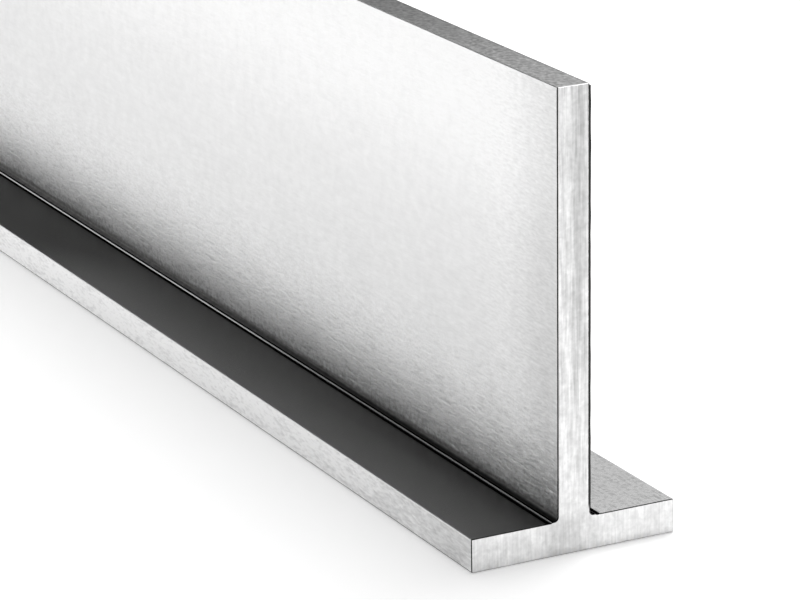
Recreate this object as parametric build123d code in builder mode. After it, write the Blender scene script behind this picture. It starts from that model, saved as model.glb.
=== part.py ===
"""Tee section: a tall web fused to the middle of a narrow flange, in steel.

The section is made up from two standard flats, 65 x 10 lying flat as the flange
and 125 x 10 standing on its middle as the web.  The joint is fused right through,
so the finished stock is one continuous piece with a small root fillet on each
side of the web and no joint line in its ends.  It lies on the flange's underside.

Frame: X runs along the stock, Y across the flange and Z up the web.  The origin
is at mid-length, on the middle line of the flange's underside.  Sizes are in
millimetres.
"""

import os

from build123d import *

# Driving dimensions
stock_length = 1000.0  # cut length, as sold
flange_width = 65.0
flange_thickness = 10.0
web_height = 125.0  # width of the web's flat, which stands on the flange
web_thickness = 10.0
root_radius = 1.25  # fillet between the web and the flange's top
arris_radius = 0.5  # rolled long edges of both flats
end_break = 0.3  # deburred edge round each sawn end

# Places in the section, worked out from the sizes
section_height = flange_thickness + web_height


def corners_at(profile, height):
    """The profile's corners at one height above the underside, left to right."""
    level = profile.vertices().filter_by_position(Axis.Y, height, height)
    return level.sort_by(Axis.X)


with BuildPart() as tee_section:
    # The cross-section, as a sawn end shows it: X across the flange, Y up the web
    with BuildSketch(Plane.YZ) as section:
        Rectangle(flange_width, flange_thickness, align=(Align.CENTER, Align.MIN))
        with Locations((0, flange_thickness)):
            Rectangle(web_thickness, web_height, align=(Align.CENTER, Align.MIN))

        # Roots first, then the six corners that are still sharp
        fillet(corners_at(section, flange_thickness)[1:-1], root_radius)
        flange_top = corners_at(section, flange_thickness)
        flange_base = corners_at(section, 0)
        web_top = corners_at(section, section_height)
        arrises = [flange_top[0], flange_top[-1], *flange_base, *web_top]
        fillet(arrises, arris_radius)

    extrude(amount=stock_length / 2, both=True)

    # Both ends are sawn square, then deburred all round
    sawn_ends = tee_section.faces().filter_by(Axis.X)
    chamfer(sawn_ends.edges(), end_break)

tee_section.part.label = "tee_section"
os.makedirs("parts", exist_ok=True)
export_step(tee_section.part, "parts/tee_section.step")
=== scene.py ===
"""Looks of the tee section: the bare steel, the white floor, the soft light and the camera.

The section is drawn again here as one closed mesh of the same size as the solid, with
round arrises that wander a little, saw marks cut into its ends, and a finish of its own
on the rolled faces, the rolled edges, the roots, the sawn ends and the broken edges.
Dark bands of painted shade lie in the roots, on the ledges and towards the stock's ends.

Frame: X along the stock, Y across the flange and Z up the web, in metres.  The origin
is at mid-length, on the middle line of the flange's underside.
"""

import logging
import math
from collections.abc import Sequence
from dataclasses import dataclass
from enum import Enum

import bmesh
import bpy
from mathutils import Matrix, Vector, noise

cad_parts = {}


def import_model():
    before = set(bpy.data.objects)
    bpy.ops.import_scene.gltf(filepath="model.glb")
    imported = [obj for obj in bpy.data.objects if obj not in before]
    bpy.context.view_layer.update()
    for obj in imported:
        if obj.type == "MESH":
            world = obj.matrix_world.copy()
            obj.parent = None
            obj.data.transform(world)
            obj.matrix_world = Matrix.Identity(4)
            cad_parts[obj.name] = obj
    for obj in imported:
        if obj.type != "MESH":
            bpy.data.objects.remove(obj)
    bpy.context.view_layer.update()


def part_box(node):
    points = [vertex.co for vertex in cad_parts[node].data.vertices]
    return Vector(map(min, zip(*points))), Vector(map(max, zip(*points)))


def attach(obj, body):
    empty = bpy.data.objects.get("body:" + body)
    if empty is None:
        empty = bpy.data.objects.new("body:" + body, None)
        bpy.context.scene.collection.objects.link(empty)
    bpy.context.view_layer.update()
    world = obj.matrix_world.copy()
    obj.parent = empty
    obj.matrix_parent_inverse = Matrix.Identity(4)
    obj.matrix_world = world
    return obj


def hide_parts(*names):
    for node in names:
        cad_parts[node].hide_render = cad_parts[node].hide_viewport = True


MM = 0.001

# Where the section's faces lie, from the origin
FLANGE_TOP = 10 * MM
WEB_SIDE = 5 * MM
FLANGE_EDGE = 32.5 * MM
STOCK_END = 500 * MM

# What fills a shader's input: another node's output, a number or a tuple of numbers
Filling = bpy.types.NodeSocket | float | tuple[float, ...]

log = logging.getLogger("tee_section")


def grey(level: float) -> tuple[float, float, float, float]:
    """Writes a grey as the colour that a shader socket takes."""
    return (level, level, level, 1.0)


def add_object(name: str, data: bpy.types.ID) -> bpy.types.Object:
    """Puts a mesh, a lamp or a camera into the scene.

    Args:
        name: The object's name.
        data: The mesh, lamp or camera that it shows.

    Returns:
        The new object, at the origin.
    """
    piece = bpy.data.objects.new(name, data)
    bpy.context.scene.collection.objects.link(piece)
    return piece


def add_mesh(name: str, mesh_maker: bmesh.types.BMesh) -> bpy.types.Object:
    """Puts a finished mesh into the scene.

    Args:
        name: The object's name.
        mesh_maker: The mesh that was built, which is used up.

    Returns:
        The new object, at the origin.
    """
    mesh = bpy.data.meshes.new(name)
    mesh_maker.to_mesh(mesh)
    mesh_maker.free()
    return add_object(name, mesh)


class Region(Enum):
    """The kinds of surface on the section, each with a finish of its own.

    A root runs from the ledge to the web: ROOT is the strip of the ledge painted near-black as shade
    beside the toe, TOE the falling edge of the fused bead, LAND the bead's level strip and FILLET its
    hollow.
    """

    WEB_FACE = "web_face"
    WEB_TOP = "web_top"
    LEFT_LEDGE = "left_ledge"
    RIGHT_LEDGE = "right_ledge"
    UNDERSIDE = "underside"
    FLANGE_SIDE = "flange_side"
    ARRIS = "arris"
    BASE_ARRIS = "base_arris"
    FILLET = "root_fillet"
    LAND = "root_land"
    ROOT = "root_shade_strip"
    TOE = "root_toe"
    SAWN = "sawn_end"
    BROKEN = "broken_edge"


class Lay(Enum):
    """Which way the strokes in a surface run, as stretches along X, Y and Z."""

    ALONG_STOCK = (0.08, 1.0, 1.0)
    SHORT = (0.28, 1.0, 1.0)
    ALONG_SAW = (1.0, 1.0, 0.06)
    NONE = (1.0, 1.0, 1.0)


@dataclass
class ShaderBench:
    """Places and joins the nodes of one material or world.

    Attributes:
        tree: The node tree that the nodes go into.
    """

    tree: bpy.types.NodeTree

    def node(self, kind: str, **settings: object) -> bpy.types.Node:
        """Adds one node.

        Args:
            kind: The node's type name.
            **settings: Attributes to set on it.

        Returns:
            The new node.
        """
        new = self.tree.nodes.new(kind)
        for name, value in settings.items():
            setattr(new, name, value)
        return new

    def feed(self, socket: bpy.types.NodeSocket, value: Filling) -> None:
        """Links a socket to an output, or sets it to a plain value.

        Args:
            socket: The input to fill.
            value: An output socket, a number or a tuple of numbers.
        """
        if isinstance(value, bpy.types.NodeSocket):
            self.tree.links.new(value, socket)
        else:
            socket.default_value = value

    def math(self, operation: str, first: Filling, second: Filling = 0.0) -> bpy.types.NodeSocket:
        """Adds a Math node.

        Args:
            operation: The node's operation, such as "ADD".
            first: The first operand, a number or an output.
            second: The second operand, a number or an output.

        Returns:
            The node's output.
        """
        new = self.node("ShaderNodeMath", operation=operation)
        self.feed(new.inputs[0], first)
        self.feed(new.inputs[1], second)
        return new.outputs[0]

    def swing(self, pattern: bpy.types.NodeSocket, share: float) -> bpy.types.NodeSocket:
        """Turns a pattern from 0 to 1 into a factor that swings by a share to each side of 1."""
        centred = self.math("SUBTRACT", pattern, 0.5)
        return self.math("ADD", self.math("MULTIPLY", centred, 2 * share), 1.0)

    def ramp(self, value: bpy.types.NodeSocket, start: float, stop: float) -> bpy.types.NodeSocket:
        """Rises smoothly from 0 to 1 as a value goes from one number to another.

        Args:
            value: The output to follow.
            start: Where the ramp is 0.
            stop: Where it is 1.

        Returns:
            The ramp.
        """
        new = self.node("ShaderNodeMapRange", interpolation_type="SMOOTHSTEP", clamp=True)
        self.feed(new.inputs["Value"], value)
        self.feed(new.inputs["From Min"], start)
        self.feed(new.inputs["From Max"], stop)
        return new.outputs["Result"]

    def axes(self) -> bpy.types.Node:
        """Adds a node that splits a place on the object into its X, Y and Z.

        Returns:
            The node, whose outputs carry the axes' names.
        """
        split = self.node("ShaderNodeSeparateXYZ")
        self.feed(split.inputs[0], self.node("ShaderNodeTexCoord").outputs["Object"])
        return split

    def show(self, surface: bpy.types.NodeSocket) -> None:
        """Makes a shader the material's surface, in place of the usual one."""
        self.tree.nodes.remove(self.tree.nodes["Principled BSDF"])
        self.feed(self.tree.nodes["Material Output"].inputs["Surface"], surface)

    def noise(self, size: float, stretch: tuple[float, float, float], detail: float,
              twist: float = 0.0) -> bpy.types.NodeSocket:
        """Adds a noise pattern that is fixed to the object.

        Args:
            size: The width of one patch, in metres.
            stretch: How the pattern's axes are scaled; under one lengthens the patches.
            detail: How many finer octaves are added.
            twist: How far the patches are bent.

        Returns:
            The pattern, from 0 to 1.
        """
        mapping = self.node("ShaderNodeMapping")
        self.feed(mapping.inputs["Vector"], self.node("ShaderNodeTexCoord").outputs["Object"])
        self.feed(mapping.inputs["Scale"], stretch)
        pattern = self.node("ShaderNodeTexNoise")
        self.feed(pattern.inputs["Vector"], mapping.outputs["Vector"])
        self.feed(pattern.inputs["Scale"], 1 / size)
        self.feed(pattern.inputs["Detail"], detail)
        self.feed(pattern.inputs["Distortion"], twist)
        return pattern.outputs["Fac"]


@dataclass(frozen=True)
class DarkBand:
    """A dark band along the section: most are painted shade, such as that beside a root; some are
    stains on the sawn ends.

    Attributes:
        axis: The axis that the band is measured across: "X", "Y" or "Z".
        middle: The place of its middle on that axis.
        reach: How far it is fully dark to each side of its middle.
        fade: How much further it fades out.
        depth: The share of the grey that it takes away.
        ragged: How far its edge wanders.
        patch: The width of one patch of that wander.
        both_sides: Whether the section's other side, or other end, has the same band.
        gate: The axis along which the band itself comes and goes, if it does.
        gate_start: Where on that axis it starts to show.
        gate_stop: Where it shows fully.
        stretch: How the axes of its wander are scaled, so that it is longer than it is high.
        detail: How many finer octaves the wander has.
    """

    axis: str
    middle: float
    reach: float
    fade: float
    depth: float = 0.92
    ragged: float = 0.3 * MM
    patch: float = 1.5 * MM
    both_sides: bool = False
    gate: str = ""
    gate_start: float = 0.0
    gate_stop: float = 0.0
    stretch: tuple[float, float, float] = (0.3, 1.0, 1.0)
    detail: float = 2.0

    def factor(self, bench: ShaderBench) -> bpy.types.NodeSocket:
        """Builds the band's pattern.

        Args:
            bench: The tree of the material that shows the band.

        Returns:
            The factor for the grey: 1 away from the band and less in it.
        """
        axes = bench.axes()
        across = axes.outputs[self.axis]
        if self.both_sides:
            across = bench.math("ABSOLUTE", across)
        away = bench.math("ABSOLUTE", bench.math("SUBTRACT", across, self.middle))
        wander = bench.noise(self.patch, self.stretch, self.detail)
        away = bench.math("ADD", away, bench.math("MULTIPLY", wander, self.ragged))
        start = self.reach + self.ragged / 2
        light = bench.ramp(away, start, start + self.fade)
        if self.gate:
            along = bench.math("ABSOLUTE", axes.outputs[self.gate])
            open_gate = bench.ramp(along, self.gate_start, self.gate_stop)
            light = bench.math("MAXIMUM", light, bench.math("SUBTRACT", 1.0, open_gate))
        return bench.math("ADD", bench.math("MULTIPLY", light, self.depth), 1 - self.depth)


@dataclass(frozen=True)
class Grain:
    """One pattern in a steel surface, such as its strokes or its mottling.

    Attributes:
        size: The width of one stroke or patch, in metres.
        lay: The way that it runs.
        share: The share by which it changes the grey.
        relief: Its height, in metres.
        rough_share: The share by which it changes the roughness.
        detail: How many finer octaves it has.
        start: Where it starts to show, on the axis below.
        full: Where it shows fully; the two are equal if it shows everywhere.
        axis: The axis that these are measured on: "X", "Y" or "Z".
        twist: How far its strokes or patches are bent.
    """

    size: float
    lay: Lay
    share: float
    relief: float = 0.0
    rough_share: float = 0.08
    detail: float = 2.0
    start: float = 0.0
    full: float = 0.0
    axis: str = "Z"
    twist: float = 0.3

    def pattern(self, bench: ShaderBench) -> bpy.types.NodeSocket:
        """Builds the pattern.

        Args:
            bench: The tree of the material that shows it.

        Returns:
            The pattern, from 0 to 1, and one half where it does not show.
        """
        pattern = bench.noise(self.size, self.lay.value, self.detail, self.twist)
        if self.start == self.full:
            return pattern
        away = bench.math("ABSOLUTE", bench.axes().outputs[self.axis])
        shown = bench.ramp(away, self.start, self.full)
        centred = bench.math("MULTIPLY", bench.math("SUBTRACT", pattern, 0.5), shown)
        return bench.math("ADD", centred, 0.5)


@dataclass(frozen=True)
class SteelFinish:
    """How one kind of bare steel surface looks.

    Attributes:
        shade: The steel's grey, as a linear reflectance.
        roughness: The mean roughness of its gloss.
        grains: The patterns in it.
        bands: The dark bands on it.
        edge_gloss: How much brighter it gets where it is seen edge-on, from 0 to 1.
    """

    shade: float
    roughness: float
    grains: tuple[Grain, ...] = ()
    bands: tuple[DarkBand, ...] = ()
    edge_gloss: float = 1.0

    def build(self, name: str) -> bpy.types.Material:
        """Makes the material.

        Args:
            name: The material's name.

        Returns:
            The new material.
        """
        material = bpy.data.materials.new(name)
        material.use_nodes = True
        bench = ShaderBench(material.node_tree)
        shader = material.node_tree.nodes["Principled BSDF"]
        shader.inputs["Metallic"].default_value = 1.0
        shader.inputs["Specular Tint"].default_value = grey(self.edge_gloss)
        shade: Filling = self.shade
        rough: Filling = self.roughness
        height: Filling = 0.0
        for grain in self.grains:
            pattern = grain.pattern(bench)
            shade = bench.math("MULTIPLY", bench.swing(pattern, grain.share), shade)
            rough = bench.math("MULTIPLY", bench.swing(pattern, grain.rough_share), rough)
            height = bench.math("ADD", bench.math("MULTIPLY", pattern, grain.relief / MM), height)
        for band in self.bands:
            shade = bench.math("MULTIPLY", band.factor(bench), shade)
        patterned = self.grains or self.bands
        bench.feed(shader.inputs["Base Color"], shade if patterned else grey(self.shade))
        bench.feed(shader.inputs["Roughness"], rough)
        if self.grains:
            bump = bench.node("ShaderNodeBump")
            bench.feed(bump.inputs["Strength"], 1.0)
            bench.feed(bump.inputs["Distance"], MM)
            bench.feed(bump.inputs["Height"], height)
            bench.feed(shader.inputs["Normal"], bump.outputs["Normal"])
        return material


# Painted shade in the roots and on the web
ROOT_SHADE = DarkBand("Z", FLANGE_TOP, reach=0.25 * MM, fade=1.3 * MM, depth=0.95, gate="X",
                      gate_start=200 * MM, gate_stop=430 * MM)
FILLET_SHADE = DarkBand("Z", FLANGE_TOP, reach=0.5 * MM, fade=3.0 * MM, depth=0.6)
END_FOOT_SHADE = DarkBand("Z", FLANGE_TOP, reach=2.5 * MM, fade=4 * MM, depth=0.16, ragged=5 * MM,
                          patch=3 * MM, gate="X", gate_start=250 * MM, gate_stop=450 * MM)
MIDDLE_FOOT_SHADE = DarkBand("Z", FLANGE_TOP, reach=2 * MM, fade=5 * MM, depth=0.24, ragged=6 * MM,
                             patch=3 * MM, gate="X", gate_start=320 * MM, gate_stop=160 * MM)
MID_HEIGHT_SHADE = DarkBand("Z", 70 * MM, reach=5 * MM, fade=45 * MM, depth=0.11)
# Painted shade: the web's faces darken towards the stock's ends
WEB_END_PAINTED_SHADE = DarkBand("X", STOCK_END, reach=1 * MM, fade=34 * MM, depth=0.16, ragged=14 * MM,
                           both_sides=True)

# Painted shade on the flange's ledges and sides, and on the web's top
# Painted shade: the ledges are darkened just beyond each root's toe
ROOT_EDGE_PAINTED_SHADE = DarkBand("Y", WEB_SIDE, reach=3.4 * MM, fade=1.2 * MM, depth=0.6, both_sides=True)
# Painted shade: the ledges darken gradually towards the web
ROOT_HALO_PAINTED_SHADE = DarkBand("Y", WEB_SIDE, reach=6 * MM, fade=30 * MM, depth=0.45, both_sides=True)
# Painted shade: the ledges are darker beside the web towards the stock's ends
END_LEDGE_PAINTED_SHADE = DarkBand("Y", WEB_SIDE, reach=5 * MM, fade=9 * MM, depth=0.28, both_sides=True,
                    gate="X", gate_start=350 * MM, gate_stop=480 * MM)
# Painted shade: the right ledge is darkened just beyond its root's toe
RIGHT_ROOT_EDGE_PAINTED_SHADE = DarkBand("Y", WEB_SIDE, reach=3.0 * MM, fade=1.0 * MM, depth=0.6)
# Painted shade: the ledges' outer parts darken towards the stock's middle
LEDGE_MIDDLE_PAINTED_SHADE = DarkBand("X", 0.0, reach=165 * MM, fade=75 * MM, depth=0.55, gate="Y",
                                gate_start=0.0, gate_stop=30 * MM)
# Painted shade: the flange's sides darken towards the stock's ends
SIDE_END_PAINTED_SHADE = DarkBand("X", STOCK_END, reach=5 * MM, fade=110 * MM, depth=0.19, both_sides=True)
# Painted shade: the web's top is darkest about 350 mm from the middle
TOP_PAINTED_SHADE = DarkBand("X", 350 * MM, reach=20 * MM, fade=130 * MM, depth=0.45, both_sides=True)
TOP_EDGE_SHADE = DarkBand("Y", 4.7 * MM, reach=0.2 * MM, fade=0.4 * MM, depth=0.35, ragged=1.0 * MM)

# The sawn ends
JOINT_STAIN = DarkBand("Y", -3 * MM, reach=3 * MM, fade=7 * MM, depth=0.20, ragged=3 * MM, patch=3 * MM,
                       gate="Z", gate_start=14 * MM, gate_stop=8 * MM)
WEB_END_STAIN = DarkBand("Y", 1.8 * MM, reach=0.8 * MM, fade=2.6 * MM, depth=0.22, ragged=3 * MM,
                         patch=3 * MM, gate="Z", gate_start=30 * MM, gate_stop=80 * MM)
SAWN_EDGE_LINE = DarkBand("Y", 4.9 * MM, reach=0.30 * MM, fade=0.08 * MM, ragged=0.2 * MM, gate="Z",
                          gate_start=12 * MM, gate_stop=14 * MM)
# Painted shade: a dark line along the sawn end's foot, where it meets the floor
SAWN_FOOT_LINE = DarkBand("Z", 0.0, reach=0.30 * MM, fade=0.1 * MM, depth=0.4, ragged=0.5 * MM,
                          patch=4 * MM)
SAWN_SIDE_LINE = DarkBand("Y", FLANGE_EDGE, reach=0.25 * MM, fade=0.1 * MM, depth=0.25)

# Patterns that several surfaces share
STROKES = Grain(0.7 * MM, Lay.ALONG_STOCK, 0.05, relief=0.008 * MM)
FINE_STROKES = Grain(0.7 * MM, Lay.ALONG_STOCK, 0.02, relief=0.003 * MM)
CLOUDS = Grain(24 * MM, Lay.NONE, 0.02, rough_share=0.0)
FOOT_BLOTCHES = Grain(1.7 * MM, Lay.NONE, 0.50, rough_share=0.0, detail=3.0, start=24 * MM,
                      full=11 * MM)

FINISHES: dict[Region, SteelFinish] = {
    Region.WEB_FACE: SteelFinish(
        shade=0.98, roughness=0.48,
        grains=(
            Grain(1.0 * MM, Lay.ALONG_STOCK, 0.04, relief=0.02 * MM),
            Grain(1.4 * MM, Lay.SHORT, 0.06, relief=0.10 * MM, detail=3.0),
            Grain(4.5 * MM, Lay.NONE, 0.09, detail=4.0),
            Grain(1.0 * MM, Lay.SHORT, 0.34, relief=0.13 * MM, detail=4.0, start=60 * MM, full=14 * MM),
            Grain(0.6 * MM, Lay.NONE, 0.25, relief=0.045 * MM, detail=2.0, start=60 * MM, full=14 * MM),
            FOOT_BLOTCHES,
            Grain(0.7 * MM, Lay.SHORT, 0.20, detail=2.0, start=430 * MM, full=490 * MM, axis="X"),
            Grain(24 * MM, Lay.NONE, 0.02, relief=0.40 * MM, rough_share=0.0),
        ),
        bands=(ROOT_SHADE, END_FOOT_SHADE, MIDDLE_FOOT_SHADE, FILLET_SHADE, MID_HEIGHT_SHADE,
               WEB_END_PAINTED_SHADE),
    ),
    # The web's top is darker than its faces: partly the rolled edge's duller tone, partly painted shade
    Region.WEB_TOP: SteelFinish(
        shade=0.45, roughness=0.42,
        grains=(STROKES, Grain(1.3 * MM, Lay.NONE, 1.0, relief=0.004 * MM, detail=3.0), CLOUDS),
        bands=(TOP_PAINTED_SHADE, TOP_EDGE_SHADE),
    ),
    # Painted shade: the left ledge has half the grey of the right one, though it is the same steel
    Region.LEFT_LEDGE: SteelFinish(
        shade=0.47, roughness=0.20,
        grains=(FINE_STROKES, CLOUDS),
        bands=(ROOT_EDGE_PAINTED_SHADE, END_LEDGE_PAINTED_SHADE, ROOT_HALO_PAINTED_SHADE, LEDGE_MIDDLE_PAINTED_SHADE),
        edge_gloss=0.5,
    ),
    Region.RIGHT_LEDGE: SteelFinish(
        shade=0.95, roughness=0.24,
        grains=(Grain(0.7 * MM, Lay.ALONG_STOCK, 0.28, relief=0.01 * MM),
                Grain(1.2 * MM, Lay.NONE, 0.50, relief=0.005 * MM, detail=3.0), CLOUDS),
        bands=(RIGHT_ROOT_EDGE_PAINTED_SHADE,),
    ),
    Region.UNDERSIDE: SteelFinish(shade=0.84, roughness=0.35, grains=(STROKES, CLOUDS)),
    Region.FLANGE_SIDE: SteelFinish(
        shade=0.98, roughness=0.38,
        grains=(STROKES, Grain(0.8 * MM, Lay.SHORT, 0.38, relief=0.09 * MM, detail=3.0),
                Grain(5.0 * MM, Lay.SHORT, 0.18), CLOUDS),
        bands=(SIDE_END_PAINTED_SHADE,),
    ),
    Region.ARRIS: SteelFinish(shade=0.95, roughness=0.35, grains=(STROKES,)),
    # Painted shade: the arrises along the floor are near-black where the section meets the floor
    Region.BASE_ARRIS: SteelFinish(
        shade=0.15, roughness=0.50,
        grains=(Grain(2.5 * MM, Lay.NONE, 0.50),),
    ),
    # Painted shade: the root's fillet and land are darker copies of the web's steel
    Region.FILLET: SteelFinish(
        shade=0.62, roughness=0.46,
        grains=(STROKES, Grain(0.8 * MM, Lay.SHORT, 0.45, relief=0.05 * MM), FOOT_BLOTCHES),
        bands=(ROOT_SHADE, FILLET_SHADE),
    ),
    Region.LAND: SteelFinish(
        shade=0.18, roughness=0.30,
        bands=(ROOT_SHADE, FILLET_SHADE),
        edge_gloss=0.0,
    ),
    # Painted shade: the strip of ledge beyond each toe is near-black
    Region.ROOT: SteelFinish(shade=0.015, roughness=0.30, edge_gloss=0.0),
    Region.TOE: SteelFinish(shade=0.62, roughness=0.12, grains=(FINE_STROKES,)),
    Region.SAWN: SteelFinish(
        shade=0.68, roughness=0.35,
        grains=(Grain(0.9 * MM, Lay.ALONG_SAW, 0.45, relief=0.008 * MM, start=8 * MM, full=26 * MM),
                Grain(0.8 * MM, Lay.ALONG_SAW, 0.22),
                Grain(1.4 * MM, Lay.NONE, 0.22, detail=4.0),
                Grain(4 * MM, Lay.NONE, 0.26, relief=0.004 * MM, detail=4.0), CLOUDS),
        bands=(JOINT_STAIN, WEB_END_STAIN, SAWN_EDGE_LINE, SAWN_FOOT_LINE, SAWN_SIDE_LINE),
    ),
    Region.BROKEN: SteelFinish(shade=0.025, roughness=0.45, edge_gloss=0.0),
}

# What the broken edge round a sawn end looks like beside each kind of surface
BREAKS: dict[Region, Region] = {
    Region.WEB_TOP: Region.ARRIS,
    Region.UNDERSIDE: Region.BASE_ARRIS,
    Region.BASE_ARRIS: Region.BASE_ARRIS,
}


@dataclass
class TeeSection:
    """The dressed section, as one closed mesh.

    Attributes:
        length: The stock's cut length.
        flange_width: The flange's width.
        flange_thickness: The flange's thickness.
        height: The height over flange and web.
        web_thickness: The web's thickness.
        root_radius: The fillet between web and flange.
        toe_height: How far the fused bead stands above the flange at the fillet's foot.
        toe_land: The bead's level strip beyond the fillet.
        toe_slope: How steeply the bead's toe falls to the flange, in degrees.
        toe_crown: How much less it falls at its top and more at its bottom, in degrees.
        shade_strip_width: The width of the strip on the flange beyond the toe that is painted dark as
            shade.
        arris_radius: The mean radius of the web's rolled long edges.
        flange_arris_radius: The same of the flange's.
        ledge_arris_share: How far the flange's upper arrises reach across it, as a share of
            how far they reach down.
        arris_wander: How far an arris's radius wanders from the mean.
        arris_wave: The length over which it wanders.
        end_break: How far the broken edge reaches along the stock.
        end_inset: How far it reaches into each sawn end.
        station_pitch: The distance between cross-sections of the mesh.
        root_steps: The facets across a root fillet.
        toe_steps: The facets across a toe.
        arris_steps: The facets across an arris.
        saw_depth: The depth of the saw marks in the ends.
        saw_pitch: The distance between marks, across the flange.
        saw_reach: The length over which a mark changes, up the web.
        wander_step: How far apart in the noise two arrises read their wander.
        wander_layer: The layer of the noise that they read it from.
        saw_ripple: How much of the noise the marks cross in one pitch and in one reach.
        cut_tolerance: How near to a point a cut may pass and still go through it.
        sharp_angle: The angle between two facets from which their edge is sharp, in degrees.
    """

    length: float
    flange_width: float
    flange_thickness: float
    height: float
    web_thickness: float
    root_radius: float = 1.25 * MM
    toe_height: float = 0.22 * MM
    toe_land: float = 0.65 * MM
    toe_slope: float = 25.5
    toe_crown: float = 5.0
    shade_strip_width: float = 1.25 * MM
    arris_radius: float = 0.28 * MM
    flange_arris_radius: float = 0.42 * MM
    ledge_arris_share: float = 0.5
    arris_wander: float = 0.06 * MM
    arris_wave: float = 14 * MM
    end_break: float = 0.45 * MM
    end_inset: float = 0.12 * MM
    station_pitch: float = 5 * MM
    root_steps: int = 10
    toe_steps: int = 5
    arris_steps: int = 12
    saw_depth: float = 0.04 * MM
    saw_pitch: float = 0.5 * MM
    saw_reach: float = 4 * MM
    wander_step: float = 7.3
    wander_layer: float = 0.5
    saw_ripple: tuple[float, float] = (0.45, 0.3)
    cut_tolerance: float = 1e-7
    sharp_angle: float = 15.0

    @classmethod
    def from_frame(cls) -> "TeeSection":
        """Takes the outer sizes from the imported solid.

        Returns:
            The section, with the solid's length, width and height.
        """
        low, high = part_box("tee_section")
        size = Vector(high) - Vector(low)
        return cls(
            length=size.x,
            flange_width=size.y,
            flange_thickness=FLANGE_TOP,
            height=size.z,
            web_thickness=2 * WEB_SIDE,
        )

    def arris_at(self, corner: int, x: float, mean: float) -> float:
        """Gives the radius of one numbered arris, of a mean radius, at one place along the stock."""
        wave = noise.noise(Vector((x / self.arris_wave, self.wander_step * corner, self.wander_layer)))
        return mean + self.arris_wander * wave

    def outline(self, x: float, inset: float) -> list[tuple[Vector, Region]]:
        """Draws the cross-section at one place along the stock.

        Args:
            x: The place along the stock.
            inset: How far the outline lies inside the true section.

        Returns:
            Each point, and the kind of surface between it and the next one.
        """
        half_flange = self.flange_width / 2
        half_web = self.web_thickness / 2
        top = self.flange_thickness
        corners = [
            (half_flange, 0.0, -90, Region.FLANGE_SIDE),
            (half_flange, top, 0, Region.RIGHT_LEDGE),
            (half_web, top, None, Region.WEB_FACE),
            (half_web, self.height, 0, Region.WEB_TOP),
            (-half_web, self.height, 90, Region.WEB_FACE),
            (-half_web, top, None, Region.LEFT_LEDGE),
            (-half_flange, top, 90, Region.FLANGE_SIDE),
            (-half_flange, 0.0, 180, Region.UNDERSIDE),
        ]
        points: list[tuple[Vector, Region]] = []
        for number, (y, z, start, after) in enumerate(corners):
            if start is None:
                points += self.root(x, y, inset, after)
            else:
                points += self.arris(x, y, z, start, number, inset, after)
        return points

    def arris(self, x: float, y: float, z: float, start: float, number: int, inset: float,
              after: Region) -> list[tuple[Vector, Region]]:
        """Draws one rounded outer edge of the section.

        Args:
            x: The place along the stock.
            y: The sharp corner's place across the flange.
            z: The sharp corner's height.
            start: The direction in which the arc starts, in degrees.
            number: The arris's number.
            inset: How far the outline lies inside the true section.
            after: The kind of surface that follows the arc.

        Returns:
            The arc's points, each with the kind of surface that follows it.
        """
        mean = self.arris_radius if z > self.flange_thickness else self.flange_arris_radius
        radius = self.arris_at(number, x, mean)
        width = radius * (self.ledge_arris_share if z == self.flange_thickness else 1.0)
        middle = math.radians(start + 45)
        edge = Region.ARRIS if z > 0 else Region.BASE_ARRIS
        centre_y = y - math.copysign(width, math.cos(middle))
        centre_z = z - math.copysign(radius, math.sin(middle))
        arc: list[tuple[Vector, Region]] = []
        for step in range(self.arris_steps + 1):
            angle = math.radians(start + 90 * step / self.arris_steps)
            point = Vector((x, centre_y + (width - inset) * math.cos(angle),
                            centre_z + (radius - inset) * math.sin(angle)))
            arc.append((point, edge if step < self.arris_steps else after))
        return arc

    def root(self, x: float, y: float, inset: float, after: Region) -> list[tuple[Vector, Region]]:
        """Draws one root: the strip of flange painted dark as shade, the fused bead's toe and land, and
        the fillet.

        Args:
            x: The place along the stock.
            y: The web face's place across the flange.
            inset: How far the outline lies inside the true section.
            after: The kind of surface that follows the root.

        Returns:
            The root's points, each with the kind of surface that follows it.
        """
        top_slope = math.radians(self.toe_slope - self.toe_crown)
        foot_slope = math.radians(self.toe_slope + self.toe_crown)
        toe_radius = self.toe_height / (math.cos(top_slope) - math.cos(foot_slope))
        toe_out = self.root_radius + self.toe_land - toe_radius * math.sin(top_slope)
        toe_base = self.toe_height - toe_radius * math.cos(top_slope)
        crease = toe_out + toe_radius * math.sin(foot_slope) - inset * math.tan(foot_slope / 2)
        places = [(crease + self.shade_strip_width, -inset), (crease, -inset)]
        for step in reversed(range(self.toe_steps)):
            angle = top_slope + (foot_slope - top_slope) * step / self.toe_steps
            reach = toe_radius - inset
            places.append((toe_out + reach * math.sin(angle), toe_base + reach * math.cos(angle)))
        for step in range(self.root_steps + 1):
            angle = math.radians(90 * step / self.root_steps)
            reach = self.root_radius + inset
            places.append((self.root_radius - reach * math.sin(angle),
                           self.toe_height + self.root_radius - reach * math.cos(angle)))
        spans = [Region.ROOT, *[Region.TOE] * self.toe_steps]
        spans += [Region.LAND, *[Region.FILLET] * self.root_steps]
        side = math.copysign(1.0, y)
        if side < 0:
            places.reverse()
            spans.reverse()
        spans.append(after)
        return [(Vector((x, y + side * out, self.flange_thickness + rise)), span)
                for (out, rise), span in zip(places, spans)]

    def stations(self) -> list[tuple[float, float]]:
        """Lists the cross-sections along the stock.

        Returns:
            Each one's place and inset, from the far end to the near one.
        """
        half = self.length / 2
        inner = half - self.end_break
        count = round(2 * inner / self.station_pitch)
        places = [(-inner + 2 * inner * step / count, 0.0) for step in range(count + 1)]
        return [(-half, self.end_inset), *places, (half, self.end_inset)]

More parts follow.
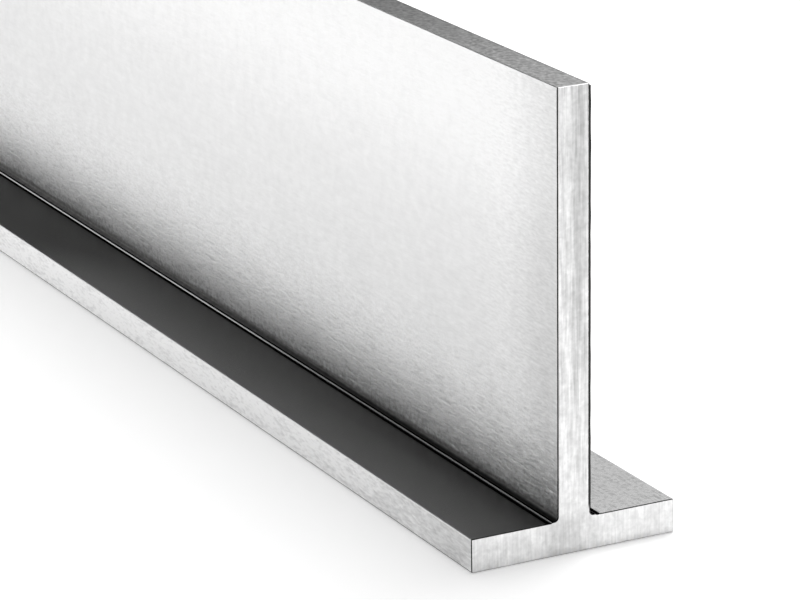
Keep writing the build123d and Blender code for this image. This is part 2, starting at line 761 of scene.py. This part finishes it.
    def build_mesh(self) -> bpy.types.Object:
        """Builds the closed mesh.

        Returns:
            The new object, at the origin, with a slot for each finish.
        """
        regions = list(Region)
        mesh_maker = bmesh.new()
        tags = [tag for _, tag in self.outline(0.0, 0.0)]
        rings = [[mesh_maker.verts.new(point) for point, _ in self.outline(x, inset)]
                 for x, inset in self.stations()]
        for index, (back, front) in enumerate(zip(rings, rings[1:])):
            at_end = index in (0, len(rings) - 2)
            for start, tag in enumerate(tags):
                stop = (start + 1) % len(tags)
                face = mesh_maker.faces.new((back[start], front[start], front[stop], back[stop]))
                face.material_index = regions.index(BREAKS.get(tag, Region.BROKEN) if at_end else tag)
        for ring, way in ((rings[0], -1), (rings[-1], 1)):
            self.close_end(mesh_maker, ring, way, regions.index(Region.SAWN))
        bmesh.ops.recalc_face_normals(mesh_maker, faces=mesh_maker.faces)
        piece = add_mesh("dressed_section", mesh_maker)
        piece.data.shade_smooth()
        piece.data.set_sharp_from_angle(angle=math.radians(self.sharp_angle))
        for region in regions:
            piece.data.materials.append(FINISHES[region].build(region.value))
        piece.modifiers.new("even_normals", "WEIGHTED_NORMAL").keep_sharp = True
        return piece

    def close_end(self, mesh_maker: bmesh.types.BMesh, ring: list[bmesh.types.BMVert], way: int,
                  slot: int) -> None:
        """Closes one end and cuts its saw marks.

        Args:
            mesh_maker: The mesh that is being built.
            ring: The end's outline.
            way: 1 at the near end and -1 at the far one.
            slot: The finish's slot.
        """
        face = mesh_maker.faces.new(ring if way > 0 else ring[::-1])
        face.material_index = slot
        rim = set(ring)
        end_x = way * self.length / 2
        columns = round(self.flange_width / self.saw_pitch)
        cuts = [((0, step * self.saw_pitch - self.flange_width / 2, 0), (0, 1, 0))
                for step in range(1, columns)]
        rows = round(self.height / self.saw_reach)
        cuts += [((0, 0, step * self.height / rows), (0, 0, 1)) for step in range(1, rows)]
        for place, normal in cuts:
            faces = [f for f in mesh_maker.faces if f.material_index == slot
                     and abs(f.calc_center_median().x - end_x) < self.end_break / 2]
            edges = {e for f in faces for e in f.edges}
            verts = {v for f in faces for v in f.verts}
            bmesh.ops.bisect_plane(mesh_maker, geom=[*faces, *edges, *verts], plane_co=place,
                                   plane_no=normal, dist=self.cut_tolerance)
        cap = {f for f in mesh_maker.faces if f.material_index == slot
               and abs(f.calc_center_median().x - end_x) < self.end_break / 2}
        border = {v for f in cap for e in f.edges if len({g in cap for g in e.link_faces}) > 1
                  for v in e.verts}
        across, up = self.saw_ripple
        for vert in {v for f in cap for v in f.verts} - rim - border:
            depth = 0.5 + 0.5 * noise.noise(Vector((vert.co.y / self.saw_pitch * across,
                                                    vert.co.z / self.saw_reach * up, way)))
            vert.co.x -= way * self.saw_depth * depth

    def dress(self) -> bpy.types.Object:
        """Builds the piece and ties it to the frame.

        Returns:
            The piece.
        """
        piece = self.build_mesh()
        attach(piece, "root")
        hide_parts("tee_section")
        return piece


@dataclass
class SawBurr:
    """The ragged fin that the saw left along one edge of the web, at the near end.

    Attributes:
        name: The piece's name.
        side: 1 on the web's right face and -1 on its left one.
        thin_reach: How far the thin part stands out from the web's face.
        thick_reach: How far the thick part stands out.
        thick_from: The height from which it is thick.
        ragged: The share by which its reach varies.
        base: Its width along the stock, where it grows out of the face.
        pitch: The distance between its cross-sections.
        sink: How far it is sunk into the web.
        wave: The length over which its reach varies.
        wave_step: How far apart in the noise the two fins read their reach.
        wave_layer: The layer of the noise that they read it from.
        set_back: How far it stands back from the sawn end.
        foot_gap: How far above the flange it starts.
        head_gap: How far below the web's top it ends.
    """

    name: str
    side: int
    thin_reach: float
    thick_reach: float
    thick_from: float
    ragged: float
    base: float = 0.7 * MM
    pitch: float = 1.2 * MM
    sink: float = 0.2 * MM
    wave: float = 5 * MM
    wave_step: float = 5.0
    wave_layer: float = 4.2
    set_back: float = 0.03 * MM
    foot_gap: float = 2 * MM
    head_gap: float = 0.6 * MM

    def reach_at(self, z: float) -> float:
        """Gives how far the fin stands out from the web's face at one height.

        Args:
            z: The height.

        Returns:
            The reach.
        """
        mean = self.thick_reach if z > self.thick_from else self.thin_reach
        wave = noise.noise(Vector((z / self.wave, self.wave_step * self.side, self.wave_layer)))
        return mean * (1 + self.ragged * wave)

    def build_mesh(self, tee: TeeSection) -> bpy.types.Object:
        """Builds the closed fin.

        Args:
            tee: The section that it grows out of.

        Returns:
            The new object.
        """
        half_web = tee.web_thickness / 2
        tip = tee.length / 2 - self.set_back
        foot = tee.flange_thickness + self.foot_gap
        head = tee.height - self.head_gap
        mesh_maker = bmesh.new()
        rings: list[list[bmesh.types.BMVert]] = []
        count = round((head - foot) / self.pitch)
        for step in range(count + 1):
            z = foot + (head - foot) * step / count
            inner = self.side * (half_web - self.sink)
            outer = self.side * (half_web + self.reach_at(z))
            places = ((tip - self.base, inner), (tip, inner), (tip, outer))
            rings.append([mesh_maker.verts.new((x, y, z)) for x, y in places])
        for low, high in zip(rings, rings[1:]):
            for start in range(3):
                stop = (start + 1) % 3
                mesh_maker.faces.new((low[start], low[stop], high[stop], high[start]))
        mesh_maker.faces.new(rings[0])
        mesh_maker.faces.new(rings[-1])
        bmesh.ops.recalc_face_normals(mesh_maker, faces=mesh_maker.faces)
        burr = add_mesh(self.name, mesh_maker)
        burr.data.materials.append(FINISHES[Region.BROKEN].build(self.name))
        return burr

    def dress(self, tee: TeeSection) -> bpy.types.Object:
        """Builds the piece and ties it to the frame.

        Args:
            tee: The section that it grows out of.

        Returns:
            The piece.
        """
        burr = self.build_mesh(tee)
        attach(burr, "root")
        return burr


BURRS: tuple[SawBurr, ...] = (
    SawBurr("saw_burr_right", 1, thin_reach=0.34 * MM, thick_reach=0.38 * MM, thick_from=93 * MM,
            ragged=0.35),
    SawBurr("saw_burr_left", -1, thin_reach=0.32 * MM, thick_reach=0.32 * MM, thick_from=0.0,
            ragged=0.12),
)


@dataclass(frozen=True)
class ReflectionCard:
    """An upright card far from the section, which shows only in its reflections.

    Attributes:
        name: The card's name.
        bearing: The direction of its middle, in degrees from +X towards +Y.
        spread: The angle that it covers to each side of its middle, in degrees.
        low: The elevation of its lower edge, in degrees.
        high: The elevation of its upper edge, in degrees.
        shade: How bright it is, where 1 is white.
        distance: How far from the origin it stands.
        steps: How many flat strips its curve is made of.
    """

    name: str
    bearing: float
    spread: float
    low: float
    high: float
    shade: float
    distance: float = 2.4
    steps: int = 16

    def build(self) -> None:
        """Stands the card up."""
        mesh_maker = bmesh.new()
        columns: list[list[bmesh.types.BMVert]] = []
        for step in range(self.steps + 1):
            turn = math.radians(self.bearing + self.spread * (2 * step / self.steps - 1))
            foot = Vector((math.cos(turn), math.sin(turn), 0)) * self.distance
            rise = [self.distance * math.tan(math.radians(e)) for e in (self.low, self.high)]
            columns.append([mesh_maker.verts.new(foot + Vector((0, 0, z))) for z in rise])
        for left, right in zip(columns, columns[1:]):
            mesh_maker.faces.new((left[0], right[0], right[1], left[1]))
        card = add_mesh(self.name, mesh_maker)
        material = bpy.data.materials.new(self.name)
        material.use_nodes = True
        bench = ShaderBench(material.node_tree)
        glow = bench.node("ShaderNodeEmission")
        glow.inputs["Strength"].default_value = self.shade
        bench.show(glow.outputs[0])
        card.data.materials.append(material)
        card.visible_camera = False
        card.visible_diffuse = False
        card.visible_shadow = False


# Each card's name, bearing, spread, lower and upper elevation, and shade
CARDS: tuple[ReflectionCard, ...] = (
    ReflectionCard("dark_card_left", 223, 37, 7, 70, 0.02),
    ReflectionCard("low_card_right", 137, 37, 0.0, 12, 0.02),
    ReflectionCard("grey_card_right", 126, 26, 12, 70, 0.5),
    ReflectionCard("dim_card_right", 163, 11, 12, 70, 0.08),
    ReflectionCard("gap_card_left", 180, 6, 34, 70, 0.15),
    ReflectionCard("dark_card_front_right", 43, 37, 0.0, 50, 0.02),
    ReflectionCard("low_card_front_left", 317, 37, 0.0, 12, 0.02),
    ReflectionCard("grey_card_front_left", 317, 37, 12, 70, 0.5),
)


@dataclass
class Studio:
    """The floor, the light, the cards and the camera.

    Attributes:
        floor_radius: How far the floor reaches.
        floor_corners: How many corners its round edge has.
        floor_drop: How far it lies below the section.
        floor_shade: The floor's own grey.
        floor_lift: What is added to the floor where the camera sees it, so that it shows white.
        floor_gleam: What is added to the floor where steel reflects it, beside the sawn ends.
        middle_gleam: What is added beside the stock's middle.
        gleam_reach: How far from the middle the difference fades out.
        end_gleam: What is added beyond the stock's ends.
        end_gleam_from: Where that starts, from the middle.
        end_gleam_fade: How much further out it is full.
        world_level: The world's strength as light; it shows as white where it is seen.
        softbox_side: The side of the square lamp overhead.
        softbox_place: Its place; it faces the section.
        softbox_power: Its power, in watts.
        camera_place: The camera's place.
        camera_bearing: How far it stands round the section, in degrees from -Y.
        camera_elevation: How far it looks down, in degrees.
        camera_roll: How far it leans, in degrees.
        camera_lens: Its focal length, in millimetres.
        camera_sensor: The width of its picture behind the lens, in millimetres.
    """

    floor_radius: float = 60.0
    floor_corners: int = 96
    floor_drop: float = 0.1 * MM
    floor_shade: float = 0.8
    floor_lift: float = 0.35
    floor_gleam: float = 0.2
    middle_gleam: float = 0.38
    gleam_reach: float = 0.45
    end_gleam: float = 0.55
    end_gleam_from: float = 0.49
    end_gleam_fade: float = 20 * MM
    world_level: float = 0.62
    softbox_side: float = 1.6
    softbox_place: tuple[float, float, float] = (-0.3, 1.1, 2.4)
    softbox_power: float = 44.0
    camera_place: tuple[float, float, float] = (1.365416, -0.496223, 0.393819)
    camera_bearing: float = 62.91
    camera_elevation: float = 17.74
    camera_roll: float = -0.87
    camera_lens: float = 171.768
    camera_sensor: float = 36.0

    @staticmethod
    def seen(bench: ShaderBench) -> bpy.types.NodeSocket:
        """Tells rays that show a surface from rays that only light one.

        Args:
            bench: The tree that needs the value.

        Returns:
            1 for a camera, glossy or transmission ray, or else 0.
        """
        path = bench.node("ShaderNodeLightPath")
        shown = bench.math("MAXIMUM", path.outputs["Is Camera Ray"], path.outputs["Is Glossy Ray"])
        return bench.math("MAXIMUM", shown, path.outputs["Is Transmission Ray"])

    def build_world(self) -> None:
        """Sets the world's light."""
        world = bpy.data.worlds.new("studio_air")
        world.use_nodes = True
        bpy.context.scene.world = world
        bench = ShaderBench(world.node_tree)
        background = world.node_tree.nodes["Background"]
        background.inputs["Color"].default_value = grey(1.0)
        lift = bench.math("MULTIPLY", self.seen(bench), 1.0 - self.world_level)
        bench.feed(background.inputs["Strength"], bench.math("ADD", lift, self.world_level))

    def gleam(self, bench: ShaderBench) -> bpy.types.NodeSocket:
        """Makes the light that the steel sees in the floor, by place along the stock.

        Args:
            bench: The tree of the floor's material.

        Returns:
            The strength that is added to the floor.
        """
        path = bench.node("ShaderNodeLightPath")
        mirrored = bench.math("MAXIMUM", path.outputs["Is Glossy Ray"],
                              path.outputs["Is Transmission Ray"])
        along = bench.math("ABSOLUTE", bench.axes().outputs["X"])
        middle = bench.ramp(along, self.gleam_reach, 0.0)
        beyond = bench.ramp(along, self.end_gleam_from, self.end_gleam_from + self.end_gleam_fade)
        middle = bench.math("MULTIPLY", middle, self.middle_gleam - self.floor_gleam)
        beyond = bench.math("MULTIPLY", beyond, self.end_gleam - self.floor_gleam)
        total = bench.math("ADD", bench.math("ADD", middle, beyond), self.floor_gleam)
        return bench.math("MULTIPLY", mirrored, total)

    def build_floor(self) -> None:
        """Lays the floor."""
        mesh_maker = bmesh.new()
        bmesh.ops.create_circle(mesh_maker, cap_ends=True, segments=self.floor_corners,
                                radius=self.floor_radius)
        floor = add_mesh("floor", mesh_maker)
        floor.location.z = -self.floor_drop
        material = bpy.data.materials.new("floor")
        material.use_nodes = True
        bench = ShaderBench(material.node_tree)
        matt = bench.node("ShaderNodeBsdfDiffuse")
        matt.inputs["Color"].default_value = grey(self.floor_shade)
        path = bench.node("ShaderNodeLightPath")
        lift = bench.math("MULTIPLY", path.outputs["Is Camera Ray"], self.floor_lift)
        glow = bench.node("ShaderNodeEmission")
        bench.feed(glow.inputs["Strength"], bench.math("ADD", lift, self.gleam(bench)))
        total = bench.node("ShaderNodeAddShader")
        bench.feed(total.inputs[0], matt.outputs[0])
        bench.feed(total.inputs[1], glow.outputs[0])
        bench.show(total.outputs[0])
        floor.data.materials.append(material)

    def build_softbox(self) -> None:
        """Hangs the lamp."""
        lamp = bpy.data.lights.new("softbox", "AREA")
        lamp.shape = "SQUARE"
        lamp.size = self.softbox_side
        lamp.energy = self.softbox_power
        box = add_object("softbox", lamp)
        box.location = self.softbox_place
        box.rotation_euler = Vector(self.softbox_place).to_track_quat("Z", "Y").to_euler()

    def build_camera(self) -> None:
        """Stands the camera where the photograph was taken."""
        turn, dip, roll = (math.radians(a) for a in
                           (self.camera_bearing, self.camera_elevation, self.camera_roll))
        forward = Vector((-math.sin(turn) * math.cos(dip), math.cos(turn) * math.cos(dip),
                          -math.sin(dip)))
        level = Vector((math.cos(turn), math.sin(turn), 0))
        upright = level.cross(forward)
        right = level * math.cos(roll) + upright * math.sin(roll)
        up = right.cross(forward)
        lens = bpy.data.cameras.new("camera")
        lens.sensor_width = self.camera_sensor
        lens.lens = self.camera_lens
        camera = add_object("camera", lens)
        axes = Matrix((right, up, -forward)).transposed().to_4x4()
        camera.matrix_world = Matrix.Translation(self.camera_place) @ axes
        bpy.context.scene.camera = camera

    def build(self) -> None:
        """Builds the whole studio."""
        self.build_world()
        self.build_floor()
        self.build_softbox()
        for card in CARDS:
            card.build()
        self.build_camera()
        bpy.context.scene.view_settings.view_transform = "Standard"


def main() -> None:
    """Builds the section, its burrs and the studio in order."""
    logging.basicConfig(level=logging.INFO, format="%(name)s: %(message)s")
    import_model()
    tee = TeeSection.from_frame()
    for piece in (tee.dress(), *[burr.dress(tee) for burr in BURRS]):
        log.info("%s: %d faces", piece.name, len(piece.data.polygons))
    Studio().build()
    log.info("studio: floor, softbox, camera and %d cards", len(CARDS))


if __name__ == "__main__":
    main()
